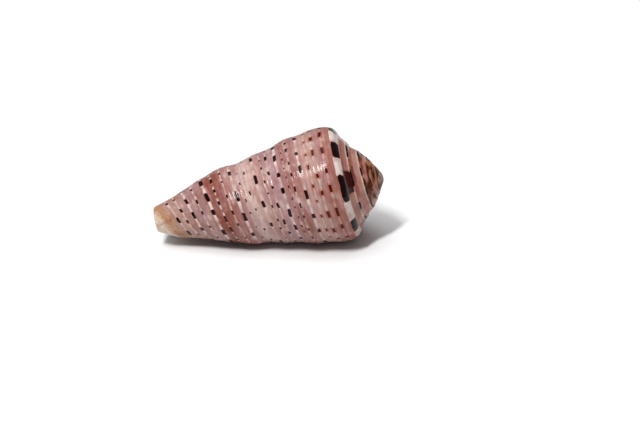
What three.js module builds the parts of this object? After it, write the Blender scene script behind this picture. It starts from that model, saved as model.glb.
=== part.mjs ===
// A cone shell lying on its aperture. Millimetres, +Z up, apex towards +X.
//
// The shell is one closed body. Its outside is a spiral surface: a generating curve, drawn once as
// (distance along the coiling axis, distance from it), turns about the axis and grows in proportion.
// Rows follow that curve, from the suture over the shoulder to the narrow anterior end. Columns
// follow the coiling, and the last column is the lip. Each whorl starts on the one before it, so the
// whorls share their suture points, and the body stays closed without any joining afterwards.
import * as THREE from 'three';

// Driving dimensions, in millimetres and degrees.
const ANTERIOR_END = 48.9;        // from the coiling centre to the blunt narrow end
const GROWTH_PER_WHORL = 1.334;   // how much larger each whorl is than the one before
const SPIRE_WHORLS = 6;           // whorls left showing above the last one
const APEX_RISE = 1.25;           // how far the early whorls stand above a plain cone
const RISE_FULL = 2.7;            // axial distance up to which the rise is complete
const RISE_OVER = 5.2;            // axial distance where it has faded out
const LIP_ANGLE = 194;            // where the last whorl ends, about the axis
const LIP_LEAD = 3;               // how far the middle of the lip runs ahead of the shoulder
const LEAD_SPAN = [12, 28];       // axial distances over which it gains that lead
const LIP_RETREAT = 16;           // how far the lip falls back from there to the anterior end
const RETREAT_SPAN = [34, 48];    // axial distances over which it falls back
const WALL = 1.2;                 // thickness of the last whorl
const LIP_EDGE = 0.45;            // thickness of the lip's edge
const LIP_TAPER = 40;             // angle over which the wall thins towards the edge
const CAVITY_ANGLE = 265;         // how far the hollow reaches back from the lip
const CAVITY_TAPER = 70;          // angle over which the hollow narrows to nothing
const ROOF_ROUNDING = 1.3;        // axial distance over which its roof rounds into its wall
const COLUMELLA_RADIUS = 0.55;    // the pillar around the axis
const APEX_BLUNTNESS = 0.45;      // how far the worn apex stops short of the coiling centre
const END_ROUNDING = 0.3;         // rounding of the anterior end, as a share of the wall
const SWELL_HEIGHT = 0.17;        // low spiral swellings on the side
const SWELL_PITCH = 7.05;
const SWELL_CREST = 16.95;        // axial distance of a crest
const SWELL_START = [11.2, 16.95];   // axial distances over which they rise
const SWELL_END = [33.9, 36];     // axial distances over which they fade out
const TILT = 11.17;               // slope of the coiling axis as the shell rests
const ROLL = -68.25;              // turn about the coiling axis as the shell rests

// Fineness of the surface.
const STEPS_PER_WHORL = 48;
const SIDE_ROWS = 16;
const ROW_CROWDING = 0.3;         // how much closer the side's rows stand near the shoulder
const ROUNDING_ROWS = 2;

const WHORL = 2 * Math.PI;
const radians = THREE.MathUtils.degToRad;
const lerp = THREE.MathUtils.lerp;
const smooth = (value, low, high) => THREE.MathUtils.smoothstep(value, low, high);

// The generating curve above the side wall, as [axial distance, radius].
const SUTURE = [5.04, 8.56];
const SEAM = SUTURE.map((distance) => distance * GROWTH_PER_WHORL);   // where the next whorl sits
const RAMP = [SUTURE, [5.62, 9.3], [6.1, 10.05], [6.27, 10.68], SEAM];
const SHOULDER = [[7.12, 11.8], [7.82, 12.14], [8.71, 12.38]];

// The side wall's radius at a few axial distances, without the swellings.
const SIDE = [
  [9.94, 12.46], [11.2, 12.4], [12.7, 12.18], [16.95, 11.5], [21.2, 10.45], [25.4, 9.47],
  [29.7, 8.88], [33.9, 7.97], [38.1, 6.4], [42.4, 4.85], [45.3, 4.0], [47.9, 3.28],
  [49.6, 2.25], [51.3, 1.25], [53.0, 0.6], [75.0, 0.55],
];

// A smooth curve through the side's points: each span is a cubic that matches its neighbours' slope.
function sideRadius(axial) {
  const last = SIDE.length - 1;
  let span = SIDE.findIndex((point) => point[0] > axial) - 1;
  span = span < 0 ? (axial < SIDE[0][0] ? 0 : last - 1) : span;
  const slopeAt = (index) => {
    const before = SIDE[Math.max(index - 1, 0)];
    const after = SIDE[Math.min(index + 1, last)];
    return (after[1] - before[1]) / (after[0] - before[0]);
  };
  const [start, startRadius] = SIDE[span];
  const [end, endRadius] = SIDE[span + 1];
  const width = end - start;
  const t = THREE.MathUtils.clamp((axial - start) / width, 0, 1);
  const bulge = slopeAt(span) * width * t * (1 - t) ** 2 - slopeAt(span + 1) * width * t * t * (1 - t);
  return lerp(startRadius, endRadius, t * t * (3 - 2 * t)) + bulge;
}

// The side wall with its low swellings, never thinner than the columella.
function outerRadius(axial) {
  const fade = smooth(axial, ...SWELL_START) * (1 - smooth(axial, ...SWELL_END));
  const swell = SWELL_HEIGHT * fade * Math.cos(WHORL * (axial - SWELL_CREST) / SWELL_PITCH);
  return Math.max(sideRadius(axial) + swell, COLUMELLA_RADIUS);
}

// Rows: the ramp's points, the shoulder's points, then the side down to the rounded anterior end.
const SEAM_ROW = RAMP.length - 1;
const ROOF_ROW = RAMP.length + SHOULDER.length;
const LAST_ROW = ROOF_ROW + SIDE_ROWS + ROUNDING_ROWS;
const SIDE_TOP = SIDE[0][0];
const ROOF = SIDE_TOP / GROWTH_PER_WHORL;     // top of the hollow, on the curve of its own whorl

// Columns: the lip is column 0, and earlier growth has negative numbers.
const CAVITY_STEPS = Math.round(CAVITY_ANGLE / 360 * STEPS_PER_WHORL);
const FIRST_COLUMN = -(SPIRE_WHORLS + 1) * STEPS_PER_WHORL;
const LIP = 0;
const UNDER_LIP = -STEPS_PER_WHORL;           // the same direction, one whorl earlier

const angleAt = (column) => radians(LIP_ANGLE) + column / STEPS_PER_WHORL * WHORL;
const sizeAt = (angle) => GROWTH_PER_WHORL ** (angle / WHORL);
const behindLip = (column) => -column / STEPS_PER_WHORL * 360;
const wallAt = (column) => lerp(LIP_EDGE, WALL, smooth(behindLip(column), 0, LIP_TAPER));

// The lip, and every growth line before it, bows forward down the side and back at the narrow end.
function bowedAngle(axial, column) {
  const along = axial / sizeAt(angleAt(column));
  const bow = LIP_LEAD * smooth(along, ...LEAD_SPAN) - LIP_RETREAT * smooth(along, ...RETREAT_SPAN);
  return angleAt(column) + radians(bow);
}

// Where a row of the side lies along the axis, and how far the end's rounding draws it in there.
function sideRow(row, column) {
  const step = row - ROOF_ROW;
  const along = Math.min(step / SIDE_ROWS, 1);
  const share = along * (1 - ROW_CROWDING * (1 - along));
  const turn = Math.max(step - SIDE_ROWS, 0) / ROUNDING_ROWS * Math.PI / 2;
  const rounding = END_ROUNDING * wallAt(column);
  const straight = lerp(SIDE_TOP * sizeAt(angleAt(column)), ANTERIOR_END - rounding, share);
  return {
    axial: straight + rounding * Math.sin(turn),
    inset: rounding * (1 - Math.cos(turn)),
  };
}

// A point of the outer spiral surface, as radius, axial distance and angle.
function outerPoint(row, column) {
  if (row < ROOF_ROW) {
    const [axial, radius] = [...RAMP, ...SHOULDER][row];
    const size = sizeAt(angleAt(column));
    return { radius: radius * size, axial: axial * size, angle: angleAt(column) };
  }
  const { axial, inset } = sideRow(row, column);
  const angle = bowedAngle(axial, column);
  const size = sizeAt(angle);
  return { radius: outerRadius(axial / size) * size - inset, axial, angle };
}

// A point of the hollow's outer wall. It starts on the floor at the roof and at the hollow's far end.
function innerPoint(row, column) {
  const floor = outerPoint(row, column - STEPS_PER_WHORL);
  const taper = 1 - smooth(behindLip(column), CAVITY_ANGLE - CAVITY_TAPER, CAVITY_ANGLE);
  const angle = lerp(floor.angle + WHORL, bowedAngle(floor.axial, column), taper);
  const size = sizeAt(angle);
  const belowRoof = THREE.MathUtils.clamp((floor.axial / size - ROOF) / ROOF_ROUNDING, 0, 1);
  const roof = Math.sqrt(1 - (1 - belowRoof) ** 2);
  const outerSkin = outerRadius(Math.max(floor.axial / size, SIDE_TOP)) * size;
  const room = outerSkin - wallAt(column) + sideRow(row, column).inset - floor.radius;
  return { radius: floor.radius + room * roof * taper, axial: floor.axial, angle };
}

// The shell's surface, collected as points and triangles.
const positions = [];
const triangles = [];
const known = new Map();

function addPoint({ radius, axial, angle }) {
  const rise = APEX_RISE * (1 - smooth(axial, RISE_FULL, RISE_OVER));
  positions.push(radius * Math.cos(angle), radius * Math.sin(angle), axial - rise);
  return positions.length / 3 - 1;
}

function remember(name, makePoint) {
  if (!known.has(name)) known.set(name, addPoint(makePoint()));
  return known.get(name);
}

// The suture of each whorl is the seam of the one before, so both use the same points.
function outer(row, column) {
  const shared = row === 0 && column - STEPS_PER_WHORL >= FIRST_COLUMN;
  if (shared) return outer(SEAM_ROW, column - STEPS_PER_WHORL);
  return remember(`outer ${row} ${column}`, () => outerPoint(row, column));
}

// The hollow's wall shares the floor's points along the roof and at its far end.
function inner(row, column) {
  const shared = row === ROOF_ROW || column === -CAVITY_STEPS;
  if (shared) return outer(row, column - STEPS_PER_WHORL);
  return remember(`inner ${row} ${column}`, () => innerPoint(row, column));
}

function addSheet(vertex, rows, columns, flipped) {
  for (let column = columns[0]; column < columns[1]; column += 1) {
    for (let row = rows[0]; row < rows[1]; row += 1) {
      const corners = [
        vertex(row, column), vertex(row, column + 1),
        vertex(row + 1, column + 1), vertex(row + 1, column),
      ];
      if (flipped) corners.reverse();
      addTriangle(corners[0], corners[1], corners[2]);
      addTriangle(corners[0], corners[2], corners[3]);
    }
  }
}

function addTriangle(a, b, c) {
  if (a !== b && b !== c && c !== a) triangles.push(a, b, c);
}

// A band between two lines of points with different counts, advancing on whichever is behind.
function addBand(left, right) {
  let [i, j] = [0, 0];
  while (i < left.length - 1 || j < right.length - 1) {
    const leftNext = (i + 1) / (left.length - 1);
    const rightNext = (j + 1) / (right.length - 1);
    if (leftNext <= rightNext) {
      addTriangle(left[i], right[j], left[i + 1]);
      i += 1;
    } else {
      addTriangle(left[i], right[j], right[j + 1]);
      j += 1;
    }
  }
}

function addFan(loop, centre) {
  loop.forEach((vertex, index) => addTriangle(vertex, loop[(index + 1) % loop.length], centre));
}

const range = (from, to) => Array.from({ length: to - from + 1 }, (_, index) => from + index);

function addSpire() {
  addSheet(outer, [0, SEAM_ROW], [FIRST_COLUMN, UNDER_LIP], false);
  const suture = range(FIRST_COLUMN, FIRST_COLUMN + STEPS_PER_WHORL).map((column) => outer(0, column));
  const start = range(1, SEAM_ROW - 1).reverse().map((row) => outer(row, FIRST_COLUMN));
  const tip = addPoint({ radius: 0, axial: APEX_BLUNTNESS, angle: 0 });
  addFan([...suture, ...start].reverse(), tip);
}

function addLastWhorl() {
  addSheet(outer, [0, LAST_ROW], [UNDER_LIP, LIP], false);
}

function addHollow() {
  addSheet(outer, [ROOF_ROW, LAST_ROW], [UNDER_LIP - CAVITY_STEPS, UNDER_LIP], false);
  addSheet(inner, [ROOF_ROW, LAST_ROW], [-CAVITY_STEPS, LIP], true);
}

// The lip's edge, from the suture to the anterior end.
function addLip() {
  const outside = range(0, LAST_ROW).map((row) => outer(row, LIP));
  const overWhorl = range(SEAM_ROW, ROOF_ROW).map((row) => outer(row, UNDER_LIP));
  const inside = range(ROOF_ROW + 1, LAST_ROW).map((row) => inner(row, LIP));
  addBand(outside, [...overWhorl, ...inside]);
}

// The blunt anterior end: the wall's edge round the hollow, and the middle around the columella.
function addAnteriorEnd() {
  const edge = range(-CAVITY_STEPS, LIP);
  addBand(edge.map((column) => inner(LAST_ROW, column)), edge.map((column) => outer(LAST_ROW, column)));
  const around = range(UNDER_LIP - CAVITY_STEPS, -CAVITY_STEPS).map((column) => outer(LAST_ROW, column));
  addFan(around, addPoint({ radius: 0, axial: ANTERIOR_END, angle: 0 }));
}

addSpire();
addLastWhorl();
addHollow();
addLip();
addAnteriorEnd();

const geometry = new THREE.BufferGeometry();
geometry.setAttribute('position', new THREE.Float32BufferAttribute(positions, 3));
geometry.setIndex(triangles);
geometry.computeVertexNormals();

const porcelain = new THREE.MeshStandardMaterial({
  color: new THREE.Color(0.72, 0.55, 0.53),
  roughness: 0.32,
  metalness: 0,
});
const shell = new THREE.Mesh(geometry, porcelain);
shell.name = 'shell';

// The coiling axis is laid down with the apex towards +X, and the shell rolls onto its aperture.
shell.rotation.set(0, -radians(90 + TILT), radians(ROLL), 'YZX');

const part = new THREE.Group();
part.add(shell);

// The origin is on the resting surface, under the middle of the shell.
part.updateMatrixWorld(true);
const box = new THREE.Box3().setFromObject(part, true);
const middle = box.getCenter(new THREE.Vector3());
part.position.set(-middle.x, -middle.y, -box.min.z);

export default part;
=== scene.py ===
"""A cone shell lying on its aperture on a pale table, in soft studio light.

The shell's surface is a generating curve that turns about the coiling axis and grows in proportion.
Every point of it has two coordinates of its own: how many turns it lies along the coiling, and how
far down the generating curve. The markings are drawn in those coordinates, so they follow the spiral.
Lengths are in millimetres and angles in degrees until the mesh and the stage are made.
"""
import math

import bpy
import numpy as np
from mathutils import Matrix, Vector, noise


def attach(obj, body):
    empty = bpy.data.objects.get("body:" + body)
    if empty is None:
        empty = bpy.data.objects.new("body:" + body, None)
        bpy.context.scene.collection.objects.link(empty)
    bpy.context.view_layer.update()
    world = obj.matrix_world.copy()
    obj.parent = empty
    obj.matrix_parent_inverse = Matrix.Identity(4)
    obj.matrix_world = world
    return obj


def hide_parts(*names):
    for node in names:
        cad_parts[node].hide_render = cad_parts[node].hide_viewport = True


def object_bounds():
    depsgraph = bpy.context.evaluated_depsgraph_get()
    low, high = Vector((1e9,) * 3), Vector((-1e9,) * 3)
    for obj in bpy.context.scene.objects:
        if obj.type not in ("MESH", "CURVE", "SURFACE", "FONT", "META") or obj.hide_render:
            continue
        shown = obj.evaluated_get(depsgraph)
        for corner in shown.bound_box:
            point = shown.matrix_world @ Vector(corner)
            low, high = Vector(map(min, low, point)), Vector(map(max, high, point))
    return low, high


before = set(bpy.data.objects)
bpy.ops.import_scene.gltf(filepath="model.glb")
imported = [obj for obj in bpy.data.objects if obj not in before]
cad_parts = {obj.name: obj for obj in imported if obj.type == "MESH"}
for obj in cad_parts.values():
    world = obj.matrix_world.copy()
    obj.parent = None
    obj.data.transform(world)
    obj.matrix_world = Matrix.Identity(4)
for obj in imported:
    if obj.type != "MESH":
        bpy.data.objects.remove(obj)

CAD_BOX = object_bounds()
MM = 0.001
TAU = 2 * math.pi

# ---- The shell's shape -------------------------------------------------------------------------

ANTERIOR_END = 48.9        # from the coiling centre to the blunt narrow end
GROWTH_PER_WHORL = 1.334   # from a fit to the photo
SPIRE_WHORLS = 8
APEX_RISE = 1.25           # how far the early whorls stand above a plain cone
RISE_SPAN = (2.7, 5.2)     # axial distances over which that rise fades out
APEX_BLUNTNESS = 0.3
LIP_ANGLE = 194.0
LIP_LEAD, LEAD_SPAN = 3.0, (12.0, 28.0)
LIP_RETREAT, RETREAT_SPAN = 16.0, (34.0, 48.0)
LIP_BULGE = 0.3            # how far the lip's rounded edge stands forward
WALL, LIP_EDGE, LIP_TAPER = 1.2, 0.45, 40.0
CAVITY_ANGLE, CAVITY_TAPER = 265.0, 70.0
ROOF_ROUNDING = 1.3
END_ROUNDING = 0.3         # rounding of the anterior end, as a share of the wall
SWELL_HEIGHT, SWELL_PITCH, SWELL_CREST = 0.17, 7.05, 16.95
SWELL_START, SWELL_END = (11.2, 16.95), (33.9, 36.0)
COLUMELLA_RADIUS = 0.55
TILT, ROLL = 11.17, -68.25   # as the shell rests on its own hull

# The generating curve from the suture over the rim to the shoulder, as (axial distance, radius).
# The seam is where the next whorl sits. These points and the side's were not chosen by hand: they
# come from scratch fits to the photo and its outline, scaled to millimetres, as report.md tells.
SUTURE = (5.04, 8.56)
SEAM = tuple(distance * GROWTH_PER_WHORL for distance in SUTURE)
UPPER = (SUTURE, (5.62, 9.3), (6.1, 10.05), (6.27, 10.68), SEAM,
         (7.12, 11.8), (7.82, 12.14), (8.71, 12.38), (9.94, 12.46))
SEAM_POINT = 4
SIDE = ((9.94, 12.46), (11.2, 12.4), (12.7, 12.18), (16.95, 11.5), (21.2, 10.45), (25.4, 9.47),
        (29.7, 8.88), (33.9, 7.97), (38.1, 6.4), (42.4, 4.85), (45.3, 4.0), (47.9, 3.28),
        (49.6, 2.25), (51.3, 1.25), (53.0, 0.6), (75.0, 0.55))
SIDE_TOP = SIDE[0][0]
ROOF = SIDE_TOP / GROWTH_PER_WHORL     # top of the hollow, on the curve of its own whorl

# Growth lines and small unevenness of the surface.
RIPPLE_HEIGHT = 0.018
RIPPLES_PER_TURN = (23.0, 41.7, 67.3)
RIM_RIPPLE, RIM_SPAN = 1.6, (5.5, 9.5)     # how much stronger they are near the rim, by height
UNEVEN_HEIGHT, UNEVEN_SIZE = 0.10, 7.0
WORN_HEIGHT, WORN_SIZE = 0.16, 1.6
WORN_SPAN = (6.6, 3.4)     # axial distances between which the spire's wear sets in

# Fineness of the mesh.
STEPS_PER_WHORL = 216
STEPS_PER_SPAN = 3
SIDE_ROWS = 88
ROW_CROWDING = 0.3
ROUNDING_ROWS = 4
LIP_LINES = 5
SHOW_STEPS = (-6, 4)       # columns about the covered lip line between which the surface comes on show
INSIDE_STEPS = (-9, 3)     # and between which it turns from the inside's colour to the outside's


def smooth(value, low, high):
    share = np.clip((value - low) / (high - low), 0, 1)
    return share * share * (3 - 2 * share)


def side_radius(axial):
    """A smooth curve through the side's points: each span is a cubic that matches its neighbours."""
    at, radius = np.array(SIDE).T
    before, after = np.maximum(np.arange(len(at)) - 1, 0), np.minimum(np.arange(len(at)) + 1, len(at) - 1)
    slope = (radius[after] - radius[before]) / (at[after] - at[before])
    span = np.clip(np.searchsorted(at, axial, side="right") - 1, 0, len(at) - 2)
    width = at[span + 1] - at[span]
    t = np.clip((axial - at[span]) / width, 0, 1)
    bulge = slope[span] * width * t * (1 - t) ** 2 - slope[span + 1] * width * t * t * (1 - t)
    return radius[span] + (radius[span + 1] - radius[span]) * t * t * (3 - 2 * t) + bulge


def outer_radius(axial):
    """The side wall with its low spiral swellings, never thinner than the columella."""
    fade = smooth(axial, *SWELL_START) * (1 - smooth(axial, *SWELL_END))
    swell = SWELL_HEIGHT * fade * np.cos(TAU * (axial - SWELL_CREST) / SWELL_PITCH)
    return np.maximum(side_radius(axial) + swell, COLUMELLA_RADIUS)


def upper_heights():
    """The height of each upper point that the markings go by: its way along the curve to the side."""
    spans = np.hypot(*np.diff(np.array(UPPER), axis=0).T)
    return SIDE_TOP - np.append(np.cumsum(spans[::-1])[::-1], 0)


def upper_rows():
    """Axial distance, radius and height of the rows above the side, along a smooth curve."""
    known = np.column_stack((UPPER, upper_heights()))
    following = np.array((*SIDE[1], SIDE[1][0]))
    padded = np.vstack((2 * known[0] - known[1], known, following))
    rows = []
    for a, b, c, d in zip(padded, padded[1:], padded[2:], padded[3:]):
        for t in np.arange(STEPS_PER_SPAN) / STEPS_PER_SPAN:
            rows.append(b + 0.5 * t * (c - a + t * (2 * a - 5 * b + 4 * c - d + t * (3 * (b - c) + d - a))))
    return np.array(rows).T


# Rows run down the generating curve. Columns run along the coiling, and column 0 is the lip.
SEAM_ROW = SEAM_POINT * STEPS_PER_SPAN
ROOF_ROW = (len(UPPER) - 1) * STEPS_PER_SPAN
LAST_ROW = ROOF_ROW + SIDE_ROWS + ROUNDING_ROWS
CAVITY_STEPS = round(CAVITY_ANGLE / 360 * STEPS_PER_WHORL)
FIRST_COLUMN = -(SPIRE_WHORLS + 1) * STEPS_PER_WHORL
UNDER_LIP = -STEPS_PER_WHORL


def angle_at(column):
    return math.radians(LIP_ANGLE) + column / STEPS_PER_WHORL * TAU


def size_at(angle):
    return GROWTH_PER_WHORL ** (angle / TAU)


def behind_lip(column):
    return -column / STEPS_PER_WHORL * 360


def wall_at(column):
    return LIP_EDGE + (WALL - LIP_EDGE) * smooth(behind_lip(column), 0, LIP_TAPER)


def bowed_angle(axial, column):
    """The lip, and every growth line before it, bows forward down the side and back at the end."""
    along = axial / size_at(angle_at(column))
    bow = LIP_LEAD * smooth(along, *LEAD_SPAN) - LIP_RETREAT * smooth(along, *RETREAT_SPAN)
    return angle_at(column) + np.radians(bow)


def side_row(row, column):
    """Where a row of the side lies along the axis, and how far the end's rounding draws it in."""
    step = row - ROOF_ROW
    along = np.minimum(step / SIDE_ROWS, 1)
    share = along * (1 - ROW_CROWDING * (1 - along))
    turn = np.maximum(step - SIDE_ROWS, 0) / ROUNDING_ROWS * math.pi / 2
    rounding = END_ROUNDING * wall_at(column)
    top = SIDE_TOP * size_at(angle_at(column))
    straight = top + (ANTERIOR_END - rounding - top) * share
    return straight + rounding * np.sin(turn), rounding * (1 - np.cos(turn))


def outer_points(row, column):
    """Radius, axial distance and angle of points of the outer surface, and their height on the curve."""
    upper_axial, upper_radius, upper_height = upper_rows()
    upper = np.minimum(row, ROOF_ROW - 1)
    above = row < ROOF_ROW
    size = size_at(angle_at(column))
    axial, inset = side_row(np.maximum(row, ROOF_ROW), column)
    axial = np.where(above, upper_axial[upper] * size, axial)
    angle = np.where(above, angle_at(column), bowed_angle(axial, column))
    size = np.where(above, size, size_at(angle))
    radius = np.where(above, upper_radius[upper] * size, outer_radius(axial / size) * size - inset)
    height = np.where(above, upper_height[upper], axial / size)
    return radius, axial, angle, height


def inner_points(row, column):
    """The same for the hollow's outer wall, which starts on the hollow's floor."""
    floor_radius, axial, floor_angle, _ = outer_points(row, column - STEPS_PER_WHORL)
    taper = 1 - smooth(behind_lip(column), CAVITY_ANGLE - CAVITY_TAPER, CAVITY_ANGLE)
    angle = floor_angle + TAU + (bowed_angle(axial, column) - floor_angle - TAU) * taper
    size = size_at(angle)
    below_roof = np.clip((axial / size - ROOF) / ROOF_ROUNDING, 0, 1)
    roof = np.sqrt(1 - (1 - below_roof) ** 2)
    skin = outer_radius(np.maximum(axial / size, SIDE_TOP)) * size
    room = skin - wall_at(column) + side_row(row, column)[1] - floor_radius
    return floor_radius + room * roof * taper, axial, angle, axial / size


def rippled(radius, angle, height, amount):
    """Growth lines: the surface rises and falls a little along the coiling."""
    turns = angle / TAU
    ripple = sum(np.sin(TAU * rate * turns + rate) for rate in RIPPLES_PER_TURN) / len(RIPPLES_PER_TURN)
    on_rim = 1 + RIM_RIPPLE * (1 - smooth(height, *RIM_SPAN))
    return radius + RIPPLE_HEIGHT * amount * ripple * on_rim


def in_space(radius, axial, angle):
    """Points about the coiling axis, with the early whorls raised."""
    rise = APEX_RISE * (1 - smooth(axial, *RISE_SPAN))
    return np.stack((radius * np.cos(angle), radius * np.sin(angle), axial - rise), -1)


# ---- The shell's mesh --------------------------------------------------------------------------

class Surface:
    """Points and faces, with turns, height and share of inside at each corner of a face."""

    def __init__(self):
        self.points, self.faces, self.corners = [], [], []
        self.count = 0

    def add_points(self, points):
        self.points.append(points.reshape(-1, 3))
        first, self.count = self.count, self.count + self.points[-1].shape[0]
        return np.arange(first, self.count)

    def add_faces(self, faces, corners):
        for face, values in zip(faces.tolist(), corners.tolist()):
            kept = [index for index, vertex in enumerate(face) if vertex != face[index - 1]]
            if len(kept) > 2:
                self.faces.append([face[index] for index in kept])
                self.corners.extend(values[index] for index in kept)

    def add_sheet(self, ids, values, flipped=False):
        """A grid of four-sided faces over a grid of points."""
        around = (slice(None, -1), slice(None, -1)), (slice(None, -1), slice(1, None)), \
            (slice(1, None), slice(1, None)), (slice(1, None), slice(None, -1))
        around = around[::-1] if flipped else around
        faces = np.stack([ids[place] for place in around], -1).reshape(-1, 4)
        corners = np.stack([values[place] for place in around], -2).reshape(-1, 4, 3)
        self.add_faces(faces, corners)

    def add_band(self, left, left_values, right, right_values):
        """Triangles between two lines of points, advancing along the axis on both together."""
        i = j = 0
        while i < len(left) - 1 or j < len(right) - 1:
            left_is_next = j == len(right) - 1 or (
                i < len(left) - 1 and left_values[i + 1][1] <= right_values[j + 1][1])
            line, values, next_one = (left, left_values, i + 1) if left_is_next else (
                right, right_values, j + 1)
            corners = np.array([[left_values[i], right_values[j], values[next_one]]])
            self.add_faces(np.array([[left[i], right[j], line[next_one]]]), corners)
            i, j = (i + 1, j) if left_is_next else (i, j + 1)

    def add_cap(self, ids, values):
        """One face over a closed line of points."""
        self.add_faces(np.array([ids]), np.array([values]))


def packed(angle, height, inside):
    """What a face's corner holds: turns along the coiling, height on the curve, share of inside."""
    return np.stack(np.broadcast_arrays(angle / TAU, height, inside), -1)


def make_shell():
    surface = Surface()
    columns = np.arange(FIRST_COLUMN, 1)
    at = {int(column): index for index, column in enumerate(columns)}
    row, column = np.meshgrid(np.arange(LAST_ROW + 1), columns, indexing="ij")
    radius, axial, angle, height = outer_points(row, column)
    on_show = smooth(column, UNDER_LIP + SHOW_STEPS[0], UNDER_LIP + SHOW_STEPS[1])
    on_show = on_show + (column < UNDER_LIP) * (row <= SEAM_ROW)
    radius = rippled(radius, angle, height, np.clip(on_show, 0, 1))
    inside = 1 - smooth(column, UNDER_LIP + INSIDE_STEPS[0], UNDER_LIP + INSIDE_STEPS[1])
    inside = inside * (row > SEAM_ROW)
    values = packed(angle, height, inside)

    # Each whorl's suture is the seam of the whorl before it, so both use the same points.
    used = (row <= SEAM_ROW) | (column >= UNDER_LIP)
    used |= (row >= ROOF_ROW) & (column >= UNDER_LIP - CAVITY_STEPS)
    used[0, STEPS_PER_WHORL:] = False
    outer = np.full(row.shape, -1)
    outer[used] = surface.add_points(in_space(radius[used], axial[used], angle[used]))
    outer[0, STEPS_PER_WHORL:] = outer[SEAM_ROW, :-STEPS_PER_WHORL]

    # The hollow's wall shares the floor's points along the roof and at its far end.
    row_in, column_in = np.meshgrid(
        np.arange(ROOF_ROW, LAST_ROW + 1), np.arange(-CAVITY_STEPS, 1), indexing="ij")
    radius_in, axial_in, angle_in, height_in = inner_points(row_in, column_in)
    own = (row_in > ROOF_ROW) & (column_in > -CAVITY_STEPS)
    floor_columns = slice(at[UNDER_LIP - CAVITY_STEPS], at[UNDER_LIP] + 1)
    inner = outer[ROOF_ROW:, floor_columns].copy()
    inner[own] = surface.add_points(in_space(radius_in[own], axial_in[own], angle_in[own]))
    values_in = packed(angle_in, height_in, 1.0)

    surface.add_sheet(outer[:SEAM_ROW + 1, :at[UNDER_LIP] + 1], values[:SEAM_ROW + 1, :at[UNDER_LIP] + 1])
    surface.add_sheet(outer[:, at[UNDER_LIP]:], values[:, at[UNDER_LIP]:])
    surface.add_sheet(outer[ROOF_ROW:, floor_columns], values[ROOF_ROW:, floor_columns])
    surface.add_sheet(inner, values_in, flipped=True)
    add_apex(surface, outer, values)
    end_line = add_lip(surface, outer, values, inner, values_in, at)
    add_anterior_end(surface, outer, values, inner, values_in, at, end_line)
    return surface


def add_apex(surface, outer, values):
    ring = [outer[0, index] for index in range(STEPS_PER_WHORL + 1)]
    ring += [outer[index, 0] for index in range(SEAM_ROW - 1, 0, -1)]
    ring_values = [values[0, index] for index in range(STEPS_PER_WHORL + 1)]
    ring_values += [values[index, 0] for index in range(SEAM_ROW - 1, 0, -1)]
    tip = surface.add_points(in_space(0.0, APEX_BLUNTNESS, 0.0))[0]
    tip_value = values[0, 0]
    for index, vertex in enumerate(ring):
        other = (index + 1) % len(ring)
        face = np.array([[ring[other], vertex, tip]])
        surface.add_faces(face, np.array([[ring_values[other], ring_values[index], tip_value]]))


def add_lip(surface, outer, values, inner, values_in, at):
    """The lip's rounded edge: lines of points round it, from the outer surface to the inner one."""
    rows = np.arange(LAST_ROW + 1)
    outside, axial, angle, height = outer_points(rows, 0)
    within = lip_inner_radius(rows, axial)
    middle, half = (outside + within) / 2, (outside - within) / 2
    bulge = np.minimum(half, LIP_BULGE)
    lines, line_values = [outer[:, -1]], [values[:, -1]]
    for line in range(1, LIP_LINES + 1):
        turn = math.pi * line / (LIP_LINES + 1)
        radius = middle + half * math.cos(turn)
        forward = bulge * math.sin(turn) / radius
        ids = outer[:, -1].copy()
        ids[1:] = surface.add_points(in_space(radius, axial, angle + forward)[1:])
        lines.append(ids)
        line_values.append(packed(angle + forward, height, line / (LIP_LINES + 1)))
    surface.add_sheet(np.stack(lines, 1), np.stack(line_values, 1))
    # The last of the lines lies against the whorl before, and then against the hollow's wall.
    edge = [*outer[SEAM_ROW:ROOF_ROW + 1, at[UNDER_LIP]], *inner[1:, -1]]
    whorl_axial = outer_points(np.arange(SEAM_ROW, ROOF_ROW + 1), UNDER_LIP)[1]
    wall_axial = inner_points(np.arange(ROOF_ROW + 1, LAST_ROW + 1), 0)[1]
    size = size_at(angle[0])
    edge_values = packed(angle[0], np.concatenate((whorl_axial, wall_axial)) / size, 1.0)
    surface.add_band(lines[-1], packed(angle, axial / size, 1.0), edge, edge_values)
    return [line[-1] for line in lines], [value[-1] for value in line_values]


def lip_inner_radius(rows, axial):
    """How far from the axis the lip's inner side is, at the axial distances of its outer side."""
    whorl_radius, whorl_axial = outer_points(np.arange(SEAM_ROW, ROOF_ROW + 1), UNDER_LIP)[:2]
    wall_radius, wall_axial = inner_points(np.arange(ROOF_ROW, LAST_ROW + 1), 0)[:2]
    against_whorl = np.interp(axial, whorl_axial, whorl_radius)
    over_hollow = np.interp(axial, wall_axial, wall_radius)
    radius = np.where(axial < wall_axial[0], against_whorl, over_hollow)
    at_end = rows > ROOF_ROW + SIDE_ROWS
    radius[at_end] = wall_radius[rows[at_end] - ROOF_ROW]
    return radius


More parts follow.
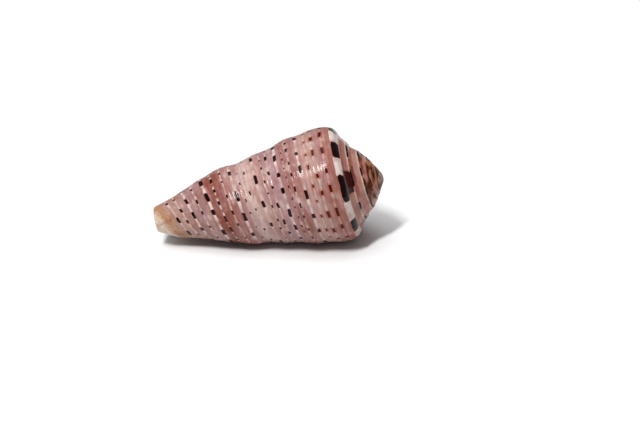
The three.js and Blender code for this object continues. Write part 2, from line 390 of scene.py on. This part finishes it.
def add_anterior_end(surface, outer, values, inner, values_in, at, end_line):
    """The blunt narrow end: the wall's edge round the hollow, and the middle round the columella."""
    edge = slice(at[-CAVITY_STEPS], at[0] + 1)
    ids = np.stack((inner[-1], outer[-1, edge]))
    surface.add_sheet(ids, np.stack((values_in[-1], values[-1, edge])), flipped=True)
    line, line_values = end_line
    surface.add_cap([*line, inner[-1, -1]], [*line_values, values_in[-1, -1]])
    middle = surface.add_points(np.array([0, 0, ANTERIOR_END]))[0]
    around = range(at[UNDER_LIP - CAVITY_STEPS], at[-CAVITY_STEPS] + 1)
    ring, ring_values = [outer[-1, index] for index in around], [values[-1, index] for index in around]
    for index, vertex in enumerate(ring):
        other = (index + 1) % len(ring)
        face = np.array([[vertex, ring[other], middle]])
        surface.add_faces(face, np.array([[ring_values[index], ring_values[other], ring_values[index]]]))


def laid_down(points):
    """The coiling axis is laid down with the apex towards +X, and the shell rolls onto its aperture."""
    turn = Matrix.Rotation(math.radians(-90 - TILT), 3, "Y") @ Matrix.Rotation(math.radians(ROLL), 3, "Z")
    points = points @ np.array(turn).T
    low, high = points.min(0), points.max(0)
    cad_low, cad_high = (np.array(corner) / MM for corner in CAD_BOX)
    shift = (cad_low + cad_high) / 2 - (low + high) / 2
    shift[2] = cad_low[2] - low[2]
    return points + shift, shift


def weathered(points, normals):
    """Small unevenness all over, and worn early whorls."""
    moved = points.copy()
    for index, (point, normal) in enumerate(zip(points, normals)):
        worn = float(1 - smooth(point[2], WORN_SPAN[1], WORN_SPAN[0]))
        uneven = noise.noise(Vector(point) / UNEVEN_SIZE) * UNEVEN_HEIGHT
        pitted = noise.noise(Vector(point) / WORN_SIZE) * WORN_HEIGHT * worn
        moved[index] += normal * (uneven + pitted)
    return moved


def make_mesh(name, surface):
    points = np.vstack(surface.points)
    mesh = bpy.data.meshes.new(name)
    mesh.from_pydata(points.tolist(), [], surface.faces)
    normals = np.zeros(len(points) * 3)
    mesh.vertices.foreach_get("normal", normals)
    points, shift = laid_down(weathered(points, normals.reshape(-1, 3)))
    mesh.vertices.foreach_set("co", (points * MM).ravel())
    corners = np.array(surface.corners)
    growth = mesh.uv_layers.new(name="growth")
    growth.data.foreach_set("uv", corners[:, :2].ravel())
    side = mesh.uv_layers.new(name="side")
    side.data.foreach_set("uv", np.stack((corners[:, 2], np.zeros(len(corners))), -1).ravel())
    mesh.polygons.foreach_set("use_smooth", np.ones(len(mesh.polygons), bool))
    mesh.update()
    made = bpy.data.objects.new(name, mesh)
    bpy.context.scene.collection.objects.link(made)
    return made, shift


shell_piece, coiling_centre = make_mesh("cone_shell_skin", make_shell())


# ---- Fields: numbers and colours that nodes work out at each point -------------------------------

def add_node(tree, kind, inputs=None, **settings):
    made = tree.nodes.new(kind)
    for name, value in settings.items():
        setattr(made, name, value)
    for key, value in (inputs or {}).items():
        if isinstance(value, Field):
            tree.links.new(value.socket, made.inputs[key])
        else:
            made.inputs[key].default_value = value
    return made


class Field:
    """The output of a node, with arithmetic that adds the nodes for it."""

    def __init__(self, socket):
        self.socket = socket

    def through(self, operation, *others):
        return calculate(self.socket.id_data, operation, self, *others)

    def __add__(self, other):
        return self.through("ADD", other)

    def __sub__(self, other):
        return self.through("SUBTRACT", other)

    def __rsub__(self, other):
        return calculate(self.socket.id_data, "SUBTRACT", other, self)

    def __mul__(self, other):
        return self.through("MULTIPLY", other)

    def __truediv__(self, other):
        return self.through("DIVIDE", other)

    __radd__, __rmul__ = __add__, __mul__

    def smooth(self, low, high):
        """0 below low, 1 above high, a smooth step between. If high is the lower, it falls instead."""
        inputs = {"Value": self, "From Min": low, "From Max": high}
        made = add_node(self.socket.id_data, "ShaderNodeMapRange", inputs, interpolation_type="SMOOTHSTEP")
        return Field(made.outputs[0])


def calculate(tree, operation, *terms):
    return Field(add_node(tree, "ShaderNodeMath", dict(enumerate(terms)), operation=operation).outputs[0])


def mixed(tree, share, first, second):
    """The first colour where share is 0, and the second where it is 1."""
    made = add_node(tree, "ShaderNodeMix", {0: share, 6: first, 7: second}, data_type="RGBA")
    return Field(made.outputs[2])


def scaled(colour, factor):
    tree = colour.socket.id_data
    made = add_node(tree, "ShaderNodeVectorMath", {0: colour, 3: factor}, operation="SCALE")
    return Field(made.outputs[0])


def ramp(tree, place, stops, interpolation="LINEAR"):
    """Colours along a number from 0 to 1. Gives the colour and the fourth value."""
    made = add_node(tree, "ShaderNodeValToRGB", {"Fac": place})
    made.color_ramp.interpolation = interpolation
    elements = made.color_ramp.elements
    while len(elements) < len(stops):
        elements.new(0.5)
    for element, (position, _) in zip(elements, stops):
        element.position = position
    for element, (_, colour) in zip(elements, stops):
        element.color = colour
    return Field(made.outputs[0]), Field(made.outputs[1])


def apart(tree, vector, kind="ShaderNodeSeparateXYZ"):
    return [Field(output) for output in add_node(tree, kind, {0: vector}).outputs]


def linear(red, green, blue):
    """A colour as a screen shows it, from 0 to 255, in the linear values that a shader takes."""
    screen = (value / 255 for value in (red, green, blue))
    values = (value / 12.92 if value <= 0.04045 else ((value + 0.055) / 1.055) ** 2.4 for value in screen)
    return (*values, 1.0)


SHADE, SHEEN = 1.2, 0.010   # light that reaches most of the shell, and what its gloss adds


def paint(red, green, blue):
    """The surface's own colour, from the colour that it shows in soft light under its sheen."""
    return (*(min(max(value - SHEEN, 0.0) / SHADE, 1.0) for value in linear(red, green, blue)[:3]), 1.0)


# ---- The shell's markings ------------------------------------------------------------------------

# The ground's colours and bands started from averages of the photo and were then changed.
UMBER = paint(126, 66, 50)
ROSE_BROWN = paint(146, 92, 84)
ROSE = paint(159, 113, 107)
MAUVE = paint(162, 121, 115)
HEATHER = paint(153, 117, 113)
LILAC = paint(166, 130, 133)
PALE = paint(180, 143, 135)
PEARL = paint(194, 165, 158)
SAND = paint(165, 129, 118)
TAN = paint(168, 127, 98)
SALMON = paint(164, 90, 72)
TERRACOTTA = paint(156, 103, 92)
BLUSH = paint(174, 120, 111)
SHELL_CREAM = paint(208, 188, 170)
CREAM = paint(222, 205, 197)
# Painted warm glint fringe: the rust round the dashes of the rows near the shoulder.
GLINT_FRINGE_RUST = paint(150, 74, 44)
OCHRE = paint(172, 104, 52)
BARK = paint(84, 42, 24)
STONE = paint(156, 144, 132)
MAROON = linear(76, 14, 9)
DEEP_MAROON = linear(54, 9, 6)
NEAR_BLACK = linear(20, 5, 4)
INSIDE_WHITE = linear(226, 208, 202)

# Spiral bands of the ground colour, by height on the generating curve.
BANDS = (
    (3.2, SHELL_CREAM), (3.5, BLUSH), (4.3, BLUSH), (4.8, SALMON), (5.6, SALMON),
    (7.6, TERRACOTTA), (9.4, TERRACOTTA), (10.5, ROSE), (11.5, SAND), (12.9, PALE), (14.0, PALE),
    (15.4, ROSE), (16.4, ROSE_BROWN), (17.6, ROSE_BROWN), (20.0, LILAC), (22.6, MAUVE), (24.7, PALE),
    (26.0, PEARL), (27.2, PEARL), (28.3, MAUVE), (29.5, ROSE), (31.6, ROSE_BROWN), (32.9, UMBER),
    (34.3, UMBER), (35.3, ROSE_BROWN), (36.4, HEATHER), (39.0, HEATHER), (41.5, SAND), (43.6, SAND),
    (44.9, TAN), (45.9, TAN), (47.3, SHELL_CREAM),
)
GREATEST_HEIGHT = 60.0
THREAD_PITCH, RELIEF_DEPTH = 0.85, 0.10
ROUGHNESS, WORN_ROUGHNESS, SPECULAR = 0.15, 0.2, 0.14

# Rows of dark dashes with cream between them. A row has so many dashes to a turn, and each wanders
# off its even place and varies in length by a sine of its number and of the row's height. The rows'
# values were not chosen by hand: they are the results of scratch fits to the photo, rounded.
WANDER, WANDER_RATE, WANDER_SEED = 0.1, 2.4, 0.4
VARIETY, LENGTH_RATE, LENGTH_SEED = 0.35, 1.7, 0.5
FLAME_RATE, FLAME_SEED, FLAME_SHIFT = 1.6, 3.2, 0.14
DASH_CORNER = 0.85         # rounding of a dash's corners, as a share of its half width
ROW_FIELDS = ("height", "half_width", "count", "phase", "length", "cream_width", "cream", "glint_fringe",
              "beads", "turn_length")


def row(height, half_width, count, phase, length, cream=0.4, cream_share=0.7, glint_fringe=0.0, beads=0.0):
    """A row's dashes: so many to a turn, the first at this share of a step, this many degrees long."""
    turn_length = TAU * float(outer_radius(np.array(max(height, SIDE_TOP))))
    return dict(zip(ROW_FIELDS, (height, half_width, count, phase, length, half_width * cream_share,
                                 cream, glint_fringe, beads, turn_length)))


# The rows near the shoulder get a painted warm glint fringe of rust round their dashes.
ROWS = (
    row(6.6, 0.92, 8.3, 0.9, 22, cream=1.0, cream_share=1.12),
    row(9.5, 0.28, 17, 0.9, 7, cream=0.3, glint_fringe=0.8),
    row(11.5, 0.24, 17, 0.8, 6, glint_fringe=1.0),
    row(13.0, 0.15, 21, 0.4, 3.5, glint_fringe=0.7),
    row(14.8, 0.35, 15, 0.0, 7.5, cream=0.75, glint_fringe=0.2),
    row(16.8, 0.20, 23, 0.4, 4.5, beads=0.6),
    row(18.0, 0.12, 32, 0.9, 2.5, cream=0.3, beads=0.6),
    row(19.5, 0.36, 16, 0.3, 8, cream=0.8),
    row(21.4, 0.25, 17, 0.7, 6),
    row(22.7, 0.17, 22, 0.6, 3.5),
    row(24.4, 0.34, 11, 0.0, 9.5, cream=0.45),
    row(26.4, 0.17, 13, 0.7, 4.5, cream=0.25),
    row(27.8, 0.13, 17, 0.5, 3.5, cream=0.25),
    row(29.3, 0.35, 11, 0.6, 11.5, cream=0.8),
    row(31.3, 0.22, 16, 0.9, 5, cream=0.5),
    row(33.4, 0.25, 16, 0.6, 8, cream=0.7, beads=1.0),
    row(35.4, 0.40, 11, 0.0, 14, cream=0.85),
    row(37.7, 0.21, 13, 0.2, 7, cream=0.6, beads=0.6),
    row(39.7, 0.31, 10, 0.2, 12, cream=0.75),
    row(41.7, 0.22, 10, 0.8, 8, cream=0.5),
    row(43.3, 0.30, 7, 0.2, 15, cream=0.5),
)


class Place:
    """Where a point lies on the shell, with the noises and spans that its looks share."""

    def __init__(self, tree):
        self.tree = tree
        growth = add_node(tree, "ShaderNodeUVMap", uv_map="growth")
        side = add_node(tree, "ShaderNodeUVMap", uv_map="side")
        self.turns, self.height, _ = apart(tree, Field(growth.outputs[0]))
        self.inside = apart(tree, Field(side.outputs[0]))[0]
        self.blotch = self.noise(6.0, 3.5, 5.0, 3.0)
        self.streak = self.noise(7.0, 0.45, 11.0, 3.0)
        self.growth_lines = self.noise(0.7, 14.0, 14.0)
        self.early = self.turns.smooth(-1.5, -2.6)
        self.on_last_whorl = self.turns.smooth(-0.75, -0.55)

    def noise(self, along, across, seed, detail=2.0):
        """Noise in the shell's own coordinates, about so many mm long and wide."""
        turn_length = TAU * SIDE[0][1]
        position = {0: self.turns * (turn_length / along), 1: self.height / across, 2: seed}
        vector = Field(add_node(self.tree, "ShaderNodeCombineXYZ", position).outputs[0])
        inputs = {"Vector": vector, "Scale": 1.0, "Detail": detail}
        return Field(add_node(self.tree, "ShaderNodeTexNoise", inputs).outputs[0])


def row_at(height):
    """Each field of the row that a point belongs to: the values step halfway between two rows."""
    tree = height.socket.id_data
    heights = [one["height"] for one in ROWS]
    edges = [0.0, *((low + high) / 2 for low, high in zip(heights, heights[1:]))]
    found = {}
    for start in range(0, len(ROW_FIELDS), 4):
        names = ROW_FIELDS[start:start + 4]
        greatest = [max(one[name] for one in ROWS) for name in names]
        stops = []
        for edge, one in zip(edges, ROWS):
            values = [one[name] / most for name, most in zip(names, greatest)]
            stops.append((edge / GREATEST_HEIGHT, (values + [1.0] * 4)[:4]))
        colour, fourth = ramp(tree, height / GREATEST_HEIGHT, stops, "CONSTANT")
        channels = [*apart(tree, colour, "ShaderNodeSeparateColor"), fourth]
        for name, most, channel in zip(names, greatest, channels):
            found[name] = channel * most
    return found


def dash_distances(turns, height, found):
    """Distances in mm outside the nearest dash and beyond its ends, and the strength of a flame."""
    along = turns * found["count"] - found["phase"]
    corner = found["half_width"] * DASH_CORNER
    off_line = (height - found["height"]).through("ABSOLUTE")
    side = (off_line - found["half_width"] + corner).through("MAXIMUM", 0.0)
    nearest = nearest_end = flame = None
    for step in (0, 1):
        number = along.through("FLOOR") + step
        wander = (number * WANDER_RATE + found["height"] * WANDER_SEED).through("SINE") * WANDER
        longer = (number * LENGTH_RATE + found["height"] * LENGTH_SEED).through("SINE") * VARIETY
        half_length = found["length"] * (longer + 1) / 2 / 360
        away = along - number - wander
        beyond, past_flame = [
            (one.through("ABSOLUTE") / found["count"] - half_length) * found["turn_length"]
            for one in (away, away - FLAME_SHIFT)]
        end = (beyond + corner).through("MAXIMUM", 0.0)
        distance = (side * side + end * end).through("SQRT") - corner
        has_flame = (number * FLAME_RATE + FLAME_SEED).through("SINE").smooth(-0.1, 0.3)
        reach = has_flame * past_flame.smooth(0.4, -0.3)
        nearest = distance if nearest is None else nearest.through("MINIMUM", distance)
        nearest_end = beyond if nearest_end is None else nearest_end.through("MINIMUM", beyond)
        flame = reach if flame is None else flame.through("MAXIMUM", reach)
    return nearest, nearest_end, flame


def ground_colour(place):
    """Bands of colour, with blotches, spiral streaks and growth lines."""
    tree, height = place.tree, place.height
    shift = (place.noise(9.0, 4.0, 21.0) - 0.5) * height.smooth(5.5, 9.0)
    stops = [(at / GREATEST_HEIGHT, colour) for at, colour in BANDS]
    ground, _ = ramp(tree, (height + shift) / GREATEST_HEIGHT, stops)
    ground = mixed(tree, place.blotch.smooth(0.50, 0.70) * 0.5, ground, PALE)
    ground = mixed(tree, place.blotch.smooth(0.48, 0.32) * 0.6, ground, ROSE_BROWN)
    on_side = height.smooth(7.2, 9.0) * height.smooth(44.0, 41.0)
    cool = place.noise(7.0, 3.0, 71.0).smooth(0.42, 0.66) * on_side
    ground = mixed(tree, cool * 0.4, ground, LILAC)
    milky = place.noise(5.0, 1.8, 81.0, 3.0).smooth(0.54, 0.68) * on_side
    off_umber = 1 - height.smooth(30.5, 32.0) * height.smooth(37.0, 35.5) * 0.85
    ground = mixed(tree, milky * off_umber * 0.7, ground, PEARL)
    fleck = place.noise(1.6, 0.7, 61.0)
    grain = (place.streak - 0.5) * 0.7 + (place.growth_lines - 0.5) * 0.3 + (fleck - 0.5) * 0.6
    return scaled(ground, grain + 1)


def aged(place, ground):
    """The whorls of the spire are faded, and the earliest are stained brown with a grey tip."""
    tree, turns = place.tree, place.turns
    faded = place.noise(8.0, 2.4, 91.0, 3.0).smooth(0.48, 0.62) * turns.smooth(-0.6, -1.1)
    ground = mixed(tree, faded * 0.6, ground, PALE)
    stain = place.noise(14.0, 4.0, 31.0)
    ground = mixed(tree, place.early * stain.smooth(0.41, 0.53) * 0.85, ground, OCHRE)
    ground = mixed(tree, turns.smooth(-1.2, -1.9) * stain.smooth(0.47, 0.57), ground, BARK)
    return mixed(tree, turns.smooth(-5.2, -7.0) * 0.85, ground, STONE)


def marked(place, ground):
    """Rows of dashes, with a painted warm glint fringe of rust round those near the shoulder, cream between
    them and dark flames over the ramp.
    """
    tree, height, last = place.tree, place.height, place.on_last_whorl
    shift_along = (place.noise(2.2, 1.1, 3.0) - 0.5) * 0.010
    shift_across = (place.noise(3.0, 2.0, 8.0) - 0.5) * height.smooth(7.0, 10.0) * 0.5
    drawn_turns, drawn_height = place.turns + shift_along, height + shift_across
    found = row_at(drawn_height)
    distance, beyond, flame = dash_distances(drawn_turns, drawn_height, found)
    ragged = place.noise(1.7, 1.3, 51.0) - 0.5
    distance = distance + ragged * found["half_width"] * 0.6 + (1 - last) * 0.12
    # A painted warm glint fringe: rust round the dashes of the rows near the shoulder.
    colour = mixed(tree, distance.smooth(0.7, 0.0) * found["glint_fringe"] * 0.75, ground, GLINT_FRINGE_RUST)

    off_line = (drawn_height - found["height"]).through("ABSOLUTE") + ragged * found["half_width"] * 0.5
    cream_width = found["cream_width"] - (1 - last) * height.smooth(7.5, 7.0) * 0.78
    bead = ((drawn_turns * found["count"] - found["phase"]) * (2 * TAU)).through("COSINE").smooth(0.3, -0.5)
    near_dash = distance.smooth(1.9, 0.5).through("MAXIMUM", height.smooth(9.0, 8.0))
    patchy = place.noise(4.0, 3.0, 17.0).smooth(0.34, 0.56)
    cream = (off_line - cream_width).smooth(0.10, -0.08) * beyond.smooth(-0.25, 0.10) * found["cream"]
    cream = cream * (1 - found["beads"] * (1 - bead)) * (near_dash * 0.76 + 0.24)
    colour = mixed(tree, cream * (patchy * 0.55 + 0.45) * (1 - place.early * 0.7), colour, CREAM)

    flame = flame * height.smooth(6.1, 5.3) * place.noise(4.0, 2.2, 41.0, 3.0).smooth(0.25, 0.37)
    flame = flame * (last + (1 - last) * height.smooth(4.4, 5.3) * 0.7)
    colour = mixed(tree, flame, colour, DEEP_MAROON)
    fresh = 1 - place.turns.smooth(-3.0, -5.0) * 0.75
    # On rows with the painted glint fringe the dashes are partly maroon rather than black.
    dark = mixed(tree, distance.smooth(0.04, -0.10) * (1 - found["glint_fringe"] * 0.6), MAROON, NEAR_BLACK)
    return mixed(tree, distance.smooth(0.09, -0.05) * fresh, colour, dark)


def fine_relief(place):
    """Spiral threads, growth lines and small pits, as a shading normal."""
    tree, height = place.tree, place.height
    threads = (height * (TAU / THREAD_PITCH)).through("SINE") * height.smooth(8.0, 12.0)
    position = Field(add_node(tree, "ShaderNodeTexCoord").outputs["Object"])
    pits = Field(add_node(tree, "ShaderNodeTexNoise", {"Vector": position, "Scale": 900.0}).outputs[0])
    lines = (place.growth_lines - 0.5) * 0.25 + (place.streak - 0.5) * 0.4
    relief = threads * 0.17 + lines + pits * 0.04
    inputs = {"Strength": 1.0, "Distance": RELIEF_DEPTH * MM, "Height": relief}
    return Field(add_node(tree, "ShaderNodeBump", inputs).outputs[0])


def shell_material():
    made = bpy.data.materials.new("shell_porcelain")
    made.use_nodes = True
    tree = made.node_tree
    tree.nodes.clear()
    place = Place(tree)
    colour = marked(place, aged(place, ground_colour(place)))
    colour = mixed(tree, place.inside.smooth(0.05, 0.6), colour, INSIDE_WHITE)
    polish = (place.blotch - 0.5) * 0.10 + (place.streak - 0.5) * 0.08
    shader = add_node(tree, "ShaderNodeBsdfPrincipled", {
        "Base Color": colour, "Roughness": polish + place.early * WORN_ROUGHNESS + ROUGHNESS,
        "Normal": fine_relief(place), "Specular IOR Level": SPECULAR})
    output = add_node(tree, "ShaderNodeOutputMaterial")
    tree.links.new(shader.outputs[0], output.inputs[0])
    return made


shell_piece.data.materials.append(shell_material())
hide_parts("shell")
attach(shell_piece, "root")


# ---- The table, the light and the camera ---------------------------------------------------------

CENTRE = Vector(coiling_centre) * MM


def direction(azimuth, elevation):
    """Azimuth 0 is towards the camera's side and -90 towards the narrow end."""
    a, e = math.radians(azimuth), math.radians(elevation)
    return Vector((math.sin(a) * math.cos(e), -math.cos(a) * math.cos(e), math.sin(e)))


def make_floor():
    bpy.ops.mesh.primitive_plane_add(size=6.0, location=(0, 0, 0))
    floor = bpy.context.object
    floor.name = "table"
    made = bpy.data.materials.new("table_paper")
    made.use_nodes = True
    tree = made.node_tree
    place = Field(add_node(tree, "ShaderNodeTexCoord").outputs["Object"])
    grain = add_node(tree, "ShaderNodeTexNoise", {"Vector": place, "Scale": 600.0, "Detail": 3.0})
    colour = mixed(tree, Field(grain.outputs[0]), linear(228, 228, 229), linear(234, 234, 234))
    shader = tree.nodes["Principled BSDF"]
    tree.links.new(colour.socket, shader.inputs["Base Color"])
    shader.inputs["Roughness"].default_value = 0.9
    floor.data.materials.append(made)


def make_light(name, azimuth, elevation, distance, width, height, power):
    data = bpy.data.lights.new(name, "AREA")
    data.shape, data.size, data.size_y, data.energy = "ELLIPSE", width, height, power
    light = bpy.data.objects.new(name, data)
    towards = direction(azimuth, elevation)
    light.location = towards * distance
    light.rotation_mode = "QUATERNION"
    light.rotation_quaternion = towards.to_track_quat("Z", "Y")
    bpy.context.scene.collection.objects.link(light)


def make_world(strength):
    world = bpy.data.worlds.new("studio")
    world.use_nodes = True
    background = world.node_tree.nodes["Background"]
    background.inputs["Color"].default_value = (1.0, 1.0, 1.0, 1.0)
    background.inputs["Strength"].default_value = strength
    bpy.context.scene.world = world


# The camera's angles and aim follow from the view fitted to the photo and from the resting pose.
CAMERA_AZIMUTH, CAMERA_ELEVATION, CAMERA_ROLL = 1.59, 22.39, -2.67
CAMERA_DISTANCE, LENS, SENSOR = 758.4, 200.0, 36.0
AIM_RIGHT, AIM_UP = -12.65, -7.58      # from the coiling centre to the middle of the picture


def make_camera():
    camera = bpy.data.objects.new("camera", bpy.data.cameras.new("camera"))
    camera.data.lens, camera.data.sensor_width = LENS, SENSOR
    back = direction(CAMERA_AZIMUTH, CAMERA_ELEVATION)
    turn = (-back).to_track_quat("-Z", "Y").to_matrix() @ Matrix.Rotation(math.radians(CAMERA_ROLL), 3, "Z")
    right, up, _ = turn.transposed()
    aim = CENTRE + (right * AIM_RIGHT + up * AIM_UP) * MM
    camera.matrix_world = Matrix.Translation(aim + back * CAMERA_DISTANCE * MM) @ turn.to_4x4()
    camera.data.clip_start, camera.data.clip_end = 0.05, 20.0
    bpy.context.scene.collection.objects.link(camera)
    bpy.context.scene.camera = camera


make_floor()
make_light("key", azimuth=-28, elevation=57, distance=1.0, width=0.11, height=0.34, power=9.0)
make_light("overhead", azimuth=-120, elevation=76, distance=1.2, width=1.4, height=1.4, power=10.5)
make_world(strength=0.20)
make_camera()
bpy.context.scene.view_settings.view_transform = "Standard"
